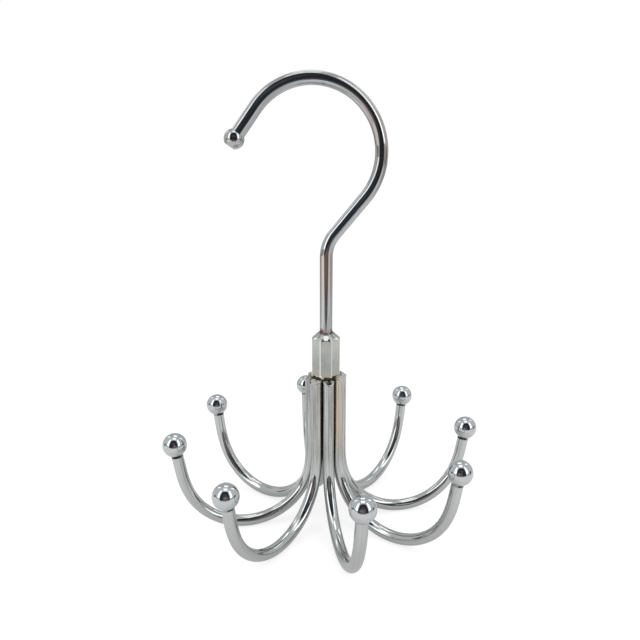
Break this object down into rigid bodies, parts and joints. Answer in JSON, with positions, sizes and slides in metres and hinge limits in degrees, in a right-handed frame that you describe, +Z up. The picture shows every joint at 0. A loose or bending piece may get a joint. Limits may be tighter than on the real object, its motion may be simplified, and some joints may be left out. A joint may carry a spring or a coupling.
{
  "type": "belt hanger",
  "caption": "Hanging rack for belts: a swivelling top hook over a ring of upturned wire hooks with ball tips.",
  "frame": {"origin": "on the swivel axis, level with the undersides of the U hooks, which the hanger stands on", "axes": "+Z up along the swivel axis; the top hook lies in the XZ plane with its open side towards -X, so a closet rod runs along Y; arm 1 points along +X and the others follow at even places anticlockwise seen from above"},
  "size_m": [0.1349, 0.135, 0.1855],
  "materials": {
    "arm_wire": "bright chrome plate",
    "ball": "mirror-bright chrome plate",
    "hook_wire": "bright chrome plate",
    "sleeve": "satin chrome plate on a turned bar",
    "inner_steel": "plain steel",
    "braze": "rough, darkened braze"
  },
  "bodies": {
    "arm_cluster": {"arm_1": "arm_wire", "arm_2": "arm_wire", "arm_3": "arm_wire", "arm_4": "arm_wire", "arm_5": "arm_wire", "arm_6": "arm_wire", "arm_7": "arm_wire", "arm_8": "arm_wire", "ball_1": "ball", "ball_2": "ball", "ball_3": "ball", "ball_4": "ball", "ball_5": "ball", "ball_6": "ball", "ball_7": "ball", "ball_8": "ball", "core_pin": "inner_steel", "braze_ring": "braze", "swivel_sleeve": "sleeve"},
    "hanging_hook": {"top_hook": "hook_wire", "tip_ball": "ball", "retaining_washer": "inner_steel"}
  },
  "joints": [
    {"name": "hook_swivel", "type": "hinge", "parent": "arm_cluster", "child": "hanging_hook", "pos_m": [0, 0, 0.07787], "axis": [0, 0, 1], "continuous": true}
  ]
}
